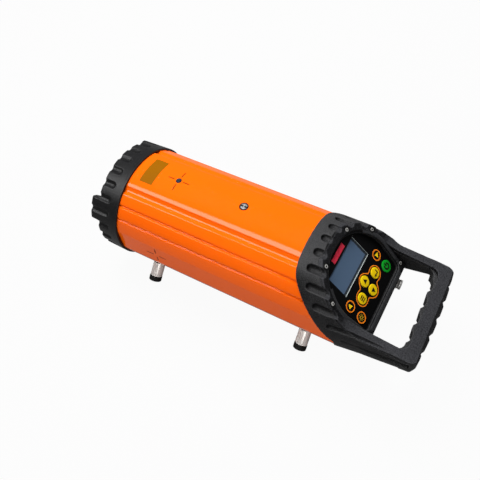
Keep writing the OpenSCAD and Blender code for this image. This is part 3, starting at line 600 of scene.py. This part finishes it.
# Handle plate: the sloping bezel, the arm tops and the upper half of the grip, moulded with a
# slightly coarser grain and held to the cap by six socket screws. The wall of the panel's recess
# slants outwards near the display's front corners.
panel_x = 168
panel_z = 62
panel_tilt = float(np.sqrt(0.5))
panel_out = np.array([panel_tilt, 0, panel_tilt])
recess_u = 56
recess_r = 44
slant_foot = 5.3
slant_most = 3.0
slant_half = 70
slant_heading = 140

plate_black = plastic("plate_plastic", (0.003, 0.003, 0.0033), (0.041, 0.0415, 0.0455), 1100.0, 0.45,
    0.36, 0.12)
# The plate's black gets painted light and shade: lighter tops and edges, darker sides and hollows.
with_painted_light(plate_black)


def on_panel(u, v, w):
    """Panel places, u down the slope, v across it and w below the bezel, to millimetres."""
    u, v, w = np.broadcast_arrays(*[np.asarray(a, float) for a in (u, v, w)])
    return np.stack([panel_x + (u - w) * panel_tilt, v, panel_z - (u + w) * panel_tilt], -1)


spread = np.linspace(-slant_half, slant_half, 57)
lean = slant_most * np.cos(np.radians(spread * 90 / slant_half)) ** 2
level = np.ones_like(spread)
radius = np.stack([(recess_r - 1) * level, recess_r + lean + 0.55, recess_r * level,
    (recess_r - 1) * level], 1)
slants = []
for side in (-1, 1):
    heading = np.radians(side * (slant_heading + spread))[:, None]
    wedge = on_panel(recess_u + radius * np.cos(heading), radius * np.sin(heading),
        [-1, -1, slant_foot, slant_foot])
    slants.append((capped(wedge), False, True))
cutter = set_down("recess_slope", closed_mesh("recess_slope", slants))
softened("handle_plate", "handle_plate_shell", plate_black, 0.0004, 6, 0.4, cutter)
bpy.data.objects.remove(cutter)


# Bezel screws: six steel socket screws sunk in the handle plate. Each has a thin dark ring round
# its head, painted shade of its counterbore, and a dark six-sided disc in its middle, painted shade
# of its socket.
rear_screw = (85.4, 44.0)
screw_spots = [on_panel(u, s * v, 0) for u, v in ((11.84, 22.79), (36.74, 45.82), rear_screw)
    for s in (-1, 1)]
seat = rounded([[2.3, -1], [3.7, -1], [3.7, 0.12], [2.3, 0.05]], [0, 0, 0.1, 0.05])
piece("screw_counterbore_shade", [washer(seat, spot, panel_out, 40) for spot in screw_spots], black_and_painted_shade)
head = rounded([[0, -10], [1.4, -10], [1.4, -1.8], [2.5, -1.8], [2.5, -1.1], [1.7, -0.2], [0, -0.2]],
    [0, 0.1, 0.1, 0.05, 0.2, 0.2, 0])
piece("plate_screw_heads", [turned(head, spot, panel_out, 40) for spot in screw_spots], steel,
    replaces=("plate_screws",))
socket = [[0, -1.5], [1.0, -1.5], [1.0, -0.17], [0, -0.17]]
piece("screw_socket_shade", [turned(socket, spot, panel_out, 6) for spot in screw_spots], black_and_painted_shade)


# Bezel lip: a soft raised bead moulded in the handle plate's own black plastic, along the lower
# edge of the recess from arm to arm; its material is a lighter, glossier copy of the plate's, the
# extra lightness a painted highlight. It narrows beside the rear screws and fades at its ends.
lip_r = 46.2
lip_low = 88.8
lip_half = 2.3
lip_high = 0.85
lip_root = 0.5
lip_sunk = 0.35
lip_fade = 26
corner_u = 80.5
corner_v = 35.1
corner_r = 8.3
corner_pull = 2.0
corner_turn = 83.3


def arc(middle, radius, start, end, steps):
    """Points round a circle in panel places, angles in degrees from +u towards +v."""
    a = np.radians(np.linspace(start, end, steps))
    return np.stack([middle[0] + radius * np.cos(a), middle[1] + radius * np.sin(a)], -1)


share = np.linspace(0, 1, 24)
bow = np.radians(corner_turn * (1 - share))
pull = corner_r - corner_pull * np.sin(np.pi * share)
corner = np.stack([corner_u + pull * np.cos(bow), corner_v + pull * np.sin(bow)], -1)
half = np.concatenate([arc([recess_u, 0], lip_r, 128, 90, 30), corner,
    line([lip_low, 34], [lip_low, 0], 20)])
bead_path = np.concatenate([half, half[-2::-1] * [1, -1]])
step = np.linalg.norm(np.diff(bead_path, axis=0), axis=1)
run = np.concatenate([[0], np.cumsum(step)])
even = np.linspace(0, run[-1], 260)
bead_path = np.stack([np.interp(even, run, bead_path[:, k]) for k in (0, 1)], -1)
fade = stepped(np.minimum(even, even[-1] - even) / lip_fade)
way = unit(np.gradient(bead_path, axis=0))
across = np.stack([way[:, 1], -way[:, 0]], -1)
swing = np.linspace(0, 2 * np.pi, 24, endpoint=False)
near = np.linalg.norm(np.abs(bead_path) - rear_screw, axis=1)
wide = lip_half * (1 - 0.75 * np.exp(-(near / 6.5) ** 2))[:, None] * np.cos(swing)[None, :]
high = np.where(np.sin(swing) > 0, lip_high * np.sin(swing), lip_root * np.sin(swing))[None, :]
section = bead_path[:, None] + wide[..., None] * across[:, None]
bead = on_panel(section[..., 0], section[..., 1], lip_sunk - (high * (0.05 + 0.95 * fade[:, None])))
# Painted highlight: the bead's black is lighter than the plate's.
bezel_black = plastic("bezel_plastic", (0.0095, 0.0096, 0.0104), (0.042, 0.043, 0.046), 1100.0, 0.2,
    0.3, 0.35)
piece("bezel_lip", [(capped(bead), False, True)], bezel_black)


# Control panel: a smooth black plate set down in the recess. Its display window's walls are
# painted pale, a painted highlight of their bevelled edge, and behind them lies a glass, blue-grey
# in its face and dark slate beyond; the dark band this leaves along its far and rear edges is
# painted shade of the window's deeper wall. A red strip stands at its upper end.
# Each box is its two opposite corners in panel places.
window_walls = ((23.55, -27.55, 5.56), (49.85, 25.95, 7.2))
display_face = ((23.2, -28.0, 6.0), (47.0, 23.1, 9.0))


def panel_box(tree, low, high, edge):
    """A mask that is one inside a box in panel places, in millimetres, with soft edges: the product
    of a rise and a fall along each of the box's three directions."""
    where = tree.nodes.new("ShaderNodeTexCoord").outputs["Object"]
    shift = vector_maths(tree, "SUBTRACT", where, place([panel_x, 0, panel_z]))
    axes = ((panel_tilt, 0, -panel_tilt), (0, 1, 0), (-panel_tilt, 0, -panel_tilt))
    mask = 1.0
    for axis, a, b in zip(axes, low, high):
        far = vector_maths(tree, "DOT_PRODUCT", shift, axis, "Value")
        rise = span(tree, far, (a - edge) / 1000, a / 1000, 0.0, 1.0)
        fall = span(tree, far, b / 1000, (b + edge) / 1000, 1.0, 0.0)
        mask = maths(tree, "MULTIPLY", maths(tree, "MULTIPLY", mask, rise), fall)
    return mask


def marked(material, box, edge, colour):
    """Lays a colour over a material inside a box in panel places."""
    tree = material.node_tree
    shader = tree.nodes["Principled BSDF"]
    under = shader.inputs["Base Color"].links[0].from_socket
    tree.links.new(mixed(tree, panel_box(tree, *box, edge), under, colour),
        shader.inputs["Base Color"])


def dress(material, *names):
    """Gives frame solids a material."""
    for name in names:
        mesh = frame["nodes"][name].data
        mesh.materials.clear()
        mesh.materials.append(material)


panel_black = plastic("panel_plastic", (0.0020, 0.0020, 0.0022), (0.0042, 0.0042, 0.0046), 700.0,
    0.05, 0.34, 0.15)
# Painted highlight: the window's walls are pale grey.
marked(panel_black, window_walls, 0.05, (0.34, 0.37, 0.36, 1))
dress(panel_black, "panel_plate")
slate = plastic("lcd_glass", (0.020, 0.026, 0.034), (0.030, 0.038, 0.050), 300.0, 0.0, 0.12, 0.3)
# Painted shade: the glass outside this face shows as a dark band along the far and rear edges.
marked(slate, display_face, 0.25, (0.070, 0.112, 0.180, 1))
dress(slate, "lcd_window")
red_glass = plastic("red_plastic", (0.52, 0.020, 0.048), (0.74, 0.038, 0.075), 250.0, 0.02, 0.2, 0.3)
dress(red_glass, "remote_window")


# Keys: round rubber-feel buttons with a flange behind the plate and a stem to the dome switch.
# Each rides on its own body; the printed signs are thin inlays on the key tops.
key_spots = {"left": (58.3, 31.8), "right": (58.3, -31.8), "power": (75.0, 31.8),
    "light": (75.0, -31.8), "up": (73.3, 0.0), "down": (60.4, 0.0), "enter": (66.7, 15.9),
    "set": (66.7, -15.9)}
outer_key_r = 6.3
pad_key_r = 5.7
key_top = 4.76
key_under = 5.2
ring_print_r = 5.15
ring_print_w = 1.2
arrow_size = 2.9
power_w = 1.65
sign_w = 1.1


def key_ink(name, dark, light):
    """A fine matt material for keys and prints."""
    return plastic(name, dark, light, 900.0, 0.06, 0.42, 0.15)


yellow = key_ink("key_yellow", (0.69, 0.465, 0.002), (0.80, 0.575, 0.004))
green = key_ink("key_green", (0.003, 0.22, 0.012), (0.006, 0.33, 0.024))
key_black = key_ink("key_black", (0.0024, 0.0024, 0.0028), (0.005, 0.005, 0.0055))
orange_ink = key_ink("orange_ink", (0.74, 0.17, 0.008), (0.88, 0.24, 0.012))
yellow_ink = key_ink("yellow_ink", (0.80, 0.52, 0.004), (0.90, 0.62, 0.008))
sun_ink = key_ink("sun_ink", (0.42, 0.27, 0.01), (0.55, 0.36, 0.02))
dark_ink = key_ink("dark_ink", (0.005, 0.005, 0.004), (0.012, 0.011, 0.008))


def flat_print(outline):
    """A thin plate on a key with a star-shaped outline in panel places, shut by its own middle."""
    outline = np.asarray(outline, float)
    middle = np.broadcast_to(outline.mean(0), outline.shape)
    rows = ((middle, key_under), (outline, key_under), (outline, key_top), (middle, key_top))
    return np.stack([on_panel(p[:, 0], p[:, 1], depth) for p, depth in rows]), False, True


def band(path, width, closed=False, top=key_top, bottom=key_under):
    """A flat band along a path in panel places."""
    path = np.asarray(path, float)
    return ribbon(on_panel(path[:, 0], path[:, 1], 0.0), panel_out, width, -top, -bottom, closed)


def pointer(spot, way, size):
    """A solid triangle that points along a direction in panel places."""
    way = unit(way)
    side = np.array([-way[1], way[0]])
    middle = np.array(spot)
    return [middle + size * way, middle - 0.62 * size * way + 0.92 * size * side,
        middle - 0.62 * size * way - 0.92 * size * side]


def bar(a, b, width):
    """The four corners of a straight bar from a to b."""
    a = np.asarray(a, float)
    b = np.asarray(b, float)
    side = width / 2 * np.array([-(b - a)[1], (b - a)[0]]) / np.linalg.norm(b - a)
    return [a + side, b + side, b - side, a - side]


def key_cap(name, r, material):
    """A turned key: stem, flange, straight side and a gently domed top with a round edge."""
    profile = rounded([[0, -10.6], [1.6, -10.6], [1.6, -9.9], [r + 0.6, -9.9], [r + 0.6, -8.9],
        [r, -8.9], [r, -4.95], [0, -4.8]], [0, 0.1, 0.1, 0.15, 0.15, 0.15, 0.55, 0])
    shape = turned(profile, on_panel(*key_spots[name], 0), panel_out)
    piece("cap_" + name, [shape], material, "key_" + name, ("key_" + name,))


def key_ring(name):
    """The orange ring printed round an outer key's top."""
    path = arc(key_spots[name], ring_print_r, 0, 355, 72)
    piece("ring_" + name, [band(path, ring_print_w, True)], orange_ink, "key_" + name)


def key_print(name, shapes, ink):
    """The sign on a key's top."""
    piece("print_" + name, shapes, ink, "key_" + name)


for name, way in (("left", (-0.73, -0.68)), ("right", (0.73, 0.68))):
    key_cap(name, outer_key_r, key_black)
    key_ring(name)
    key_print(name, [flat_print(pointer(key_spots[name], way, arrow_size))], yellow_ink)

key_cap("power", outer_key_r, green)
key_print("power", [band(arc(key_spots["power"], 3.0, 215, 505, 40), power_w),
    flat_print(bar([74.8, 31.8], [70.7, 31.8], power_w))], dark_ink)

key_cap("light", outer_key_r, key_black)
key_ring("light")
sun = [band(arc(key_spots["light"], 1.35, 0, 350, 36), 0.7, True)]
for a in np.radians(np.arange(0, 360, 45)):
    ray = np.array([np.cos(a), np.sin(a)])
    sun.append(flat_print(bar(key_spots["light"] + 2.25 * ray, key_spots["light"] + 3.4 * ray, 0.6)))
key_print("light", sun, sun_ink)

for name, way in (("up", (-0.585, 0.81)), ("down", (0.585, -0.81))):
    key_cap(name, pad_key_r, yellow)
    key_print(name, [flat_print(pointer(key_spots[name], way, arrow_size))], dark_ink)

key_cap("enter", pad_key_r, yellow)
bent = np.concatenate([line([64.4, 18.2], [68.2, 18.2], 8), line([68.2, 17.7], [68.2, 14.6], 8)])
key_print("enter", [band(bent, sign_w), flat_print(pointer((68.2, 13.6), (0, -1), 1.7))], dark_ink)

key_cap("set", pad_key_r, yellow)
key_print("set", [flat_print(bar([66.7 + d, -18.5], [66.7 + d, -13.3], sign_w))
    for d in (-2.1, 0.0, 2.1)], dark_ink)


# Loop round the four yellow keys: an orange line printed on the panel. Its path is where a soft
# union of four discs ends, found along 720 rays from the middle of the pad.
pad_middle = np.array([66.7, 0.0])
disc_r = 7.3
disc_soft = 3.0
loop_w = 1.05
loop_top = 5.42
loop_under = 5.8
rays = np.linspace(0, 2 * np.pi, 720, endpoint=False)
ray_ways = np.stack([np.cos(rays), np.sin(rays)], -1)
reach = np.linspace(4, 34, 1200)
spots = pad_middle + reach[None, :, None] * ray_ways[:, None]
discs = np.array([key_spots[name] for name in ("up", "down", "enter", "set")])
gaps = np.linalg.norm(spots[:, :, None] - discs, axis=-1) - disc_r
within = -disc_soft * np.log(np.exp(-gaps / disc_soft).sum(-1)) < 0
last = reach.size - 1 - np.argmax(within[:, ::-1], axis=1)
loop = pad_middle + reach[last][:, None] * ray_ways
piece("key_loop", [band(loop, loop_w, True, loop_top, loop_under)], orange_ink)


# Legs: four turned steel posts on black plastic collars, screwed into the tube, each with a
# rubber tip pressed into its end.
legs = [([x, 0, 0], [0, side, -1]) for x in (-19.4, 165.2) for side in (-1, 1)]
leg_steel = metal("leg_steel", (0.95, 0.925, 0.88), (260.0, 12.0, 12.0), 0.08, 0.85, 0.3)
rubber = plastic("rubber", (0.002, 0.002, 0.002), (0.007, 0.007, 0.007), 1200.0, 0.3, 0.6, 0.25)
post = rounded([[0, 49], [4, 49], [4, 62.5], [6.7, 62.5], [6.7, 79], [3.6, 79], [3.6, 73.8],
    [0, 73.8]], [0, 0.3, 0.1, 0.5, 0.5, 0.1, 0.1, 0])
tip = rounded([[0, 74], [3.5, 74], [3.5, 79], [7, 79], [7, 85], [0, 85]],
    [0, 0.2, 0.1, 0.5, 0.9, 0])
piece("leg_post_set", [turned(post, *leg) for leg in legs], leg_steel,
    replaces=("leg_posts",))
piece("leg_tip_set", [turned(tip, *leg) for leg in legs], rubber, replaces=("leg_feet",))
dress(rubber, "leg_collars", "front_seal", "panel_gasket", "key_domes")


# Charging connector: a turned, plated socket on the rear wall with a flange and two grooves,
# held by a nut inside the cap.
connector_at = [224.781, 33, -20]
plated = metal("plated", (0.93, 0.91, 0.88), (200.0, 300.0, 300.0), 0.1, 0.85, 0.2)
socket = rounded([[0, -9], [5.25, -9], [5.25, 0], [7.25, 0], [7.25, 2], [5.25, 2], [5.25, 4.2],
    [4.85, 4.5], [4.85, 5.4], [5.25, 5.7], [5.25, 7.4], [4.85, 7.7], [4.85, 8.6], [5.25, 8.9],
    [5.25, 11], [3.85, 11], [3.85, 4], [0, 4]],
    [0, 0.2, 0.05, 0.05, 0.4, 0.2, 0.1, 0.1, 0.1, 0.1, 0.1, 0.1, 0.1, 0.1, 0.4, 0.2, 0.1, 0])
piece("connector_shell", [turned(socket, connector_at, [1, 0, 0])], plated,
    replaces=("charge_connector",))


# Fasteners and inner frame: plain turned, milled or bent steel, aluminium and brass. They are
# dressed where the frame has them, and most of them lie inside the tube.
aluminium = metal("aluminium", (0.74, 0.75, 0.76), (40.0, 700.0, 700.0), 0.28, 0.8, 1.0)
brass = metal("brass", (0.72, 0.50, 0.19), (600.0, 600.0, 600.0), 0.22, 0.8, 1.0)
dress(steel, "ring_screws", "cap_screws", "retainer_screws", "board_screws",
    "key_board_screws", "leg_nuts", "connector_nut")
dress(aluminium, "front_bulkhead", "window_retainer", "tie_rods", "rear_bulkhead",
    "gimbal_frame", "yoke", "cradle", "line_motor", "grade_motor")
dress(brass, "line_pinion", "grade_pinion", "laser_diode")


# Window, lens and level vial: clear glass, lightly tinted. The window is clamped by its retainer,
# and the lens and the green vial sit in the cradle.
glass = paint("window_glass", (0.90, 0.95, 0.95), (0.82, 0.90, 0.92), 0.02, Transmission_Weight=1.0,
    IOR=1.5)
spirit = paint("vial_glass", (0.45, 0.75, 0.20), (0.38, 0.66, 0.16), 0.04, Transmission_Weight=0.8,
    IOR=1.45)
dress(glass, "window_glass", "collimator_lens")
dress(spirit, "level_vial")


# Power and electronics: green boards with a fine grain, a black plastic tray, and three cells in
# smooth blue sleeves that lie in it.
board = plastic("board", (0.004, 0.05, 0.016), (0.01, 0.13, 0.04), 260.0, 0.15, 0.35, 0.5)
sleeve = paint("cell_sleeve", (0.02, 0.08, 0.30), (0.015, 0.05, 0.20), 0.25)
dress(board, "main_board", "key_board", "lcd_module")
dress(sleeve, "battery_cells")
dress(black_and_painted_shade, "battery_tray")


# Floor, light and camera: a white floor and four soft lamps, seen from above the handle end. The
# key and the fill light matt faces from above and from the near side; the softbox and the card
# show only in glossy ones.
floor_mesh = bpy.data.meshes.new("floor")
floor_mesh.from_pydata([(-3, -3, 0), (3, -3, 0), (3, 3, 0), (-3, 3, 0)], [], [(0, 1, 2, 3)])
floor = set_down("floor", floor_mesh)


def blended(tree, share, one, two, surface):
    """Puts a mix of two shaders on a surface."""
    both = tree.nodes.new("ShaderNodeMixShader")
    for socket, value in zip(both.inputs, (share, one, two)):
        tree.links.new(value, socket)
    tree.links.new(both.outputs["Shader"], surface)


paper = bpy.data.materials.new("paper")
paper.use_nodes = True
tree = paper.node_tree
shader = tree.nodes["Principled BSDF"]
shader.inputs["Base Color"].default_value = (0.12, 0.12, 0.12, 1)
shader.inputs["Roughness"].default_value = 1.0
shader.inputs["Specular IOR Level"].default_value = 0.0
glow = tree.nodes.new("ShaderNodeEmission")
glow.inputs["Strength"].default_value = 1.08
rays_in = tree.nodes.new("ShaderNodeLightPath").outputs
seen = span(tree, rays_in["Is Glossy Ray"], 0.0, 1.0, 0.0, 0.12)
for kind in ("Is Camera Ray", "Is Transmission Ray"):
    seen = maths(tree, "MAXIMUM", seen, span(tree, rays_in[kind], 0.0, 1.0, 0.0, 0.88))
blended(tree, seen, shader.outputs["BSDF"], glow.outputs["Emission"],
    tree.nodes["Material Output"].inputs["Surface"])
floor_mesh.materials.append(paper)

world = bpy.data.worlds.new("studio")
bpy.context.scene.world = world
world.use_nodes = True
tree = world.node_tree
tree.nodes.clear()
rays_in = tree.nodes.new("ShaderNodeLightPath").outputs
seen = maths(tree, "MAXIMUM", rays_in["Is Camera Ray"], rays_in["Is Transmission Ray"])
soft = tree.nodes.new("ShaderNodeBackground")
bright = tree.nodes.new("ShaderNodeBackground")
for backdrop in (soft, bright):
    backdrop.inputs["Color"].default_value = (1, 1, 1, 1)
feed(tree, soft.inputs["Strength"], span(tree, rays_in["Is Glossy Ray"], 0.0, 1.0, 0.18, 0.06))
sky = tree.nodes.new("ShaderNodeOutputWorld")
blended(tree, seen, soft.outputs["Background"], bright.outputs["Background"], sky.inputs["Surface"])


def stance(side, up, back, at):
    """A matrix with three given axes and a given place."""
    rows = np.stack([side, up, back, at], 1)
    return Matrix([*rows.tolist(), [0, 0, 0, 1]])


def lamp(name, way, distance, size, power, lights, mirrored):
    """A soft light that looks at the pivot from a direction; it may light matt faces, be mirrored
    in glossy ones, or both."""
    data = bpy.data.lights.new(name, "AREA")
    data.shape = "RECTANGLE"
    data.size = size[0]
    data.size_y = size[1]
    data.energy = power
    made = set_down(name, data)
    back = unit(way)
    side = unit(np.cross([0, 1, 0], back))
    made.matrix_world = stance(side, np.cross(back, side), back, pivot + distance * back)
    made.visible_diffuse = lights
    made.visible_glossy = mirrored


lamp("key", (-0.20, 0.32, 0.93), 1.2, (0.9, 0.9), 33.0, True, False)
lamp("softbox", (-0.40, -0.38, 0.83), 1.1, (1.0, 0.42), 8.6, False, True)
lamp("fill", (0.05, -0.97, 0.24), 0.9, (0.8, 0.3), 5.0, True, False)
lamp("card", (0.45, -0.78, 0.44), 0.8, (0.55, 0.28), 1.1, False, True)

lens = bpy.data.cameras.new("camera")
lens.sensor_width = 36
lens.lens = 42.5156
lens.shift_x = -0.058725
lens.shift_y = -0.048207
lens.clip_start = 0.01
camera = set_down("camera", lens)
right = np.array([0.87634757, 0.47779405, -0.06105557])
down = np.array([0.34877553, -0.71685471, -0.6037176])
look = np.array([-0.33222065, 0.50777177, -0.79485676])
stand = pivot + [0.28481, -0.27647, 0.49162]
camera.matrix_world = stance(right, -down, -look, stand)
bpy.context.scene.camera = camera
bpy.context.scene.view_settings.view_transform = "Standard"
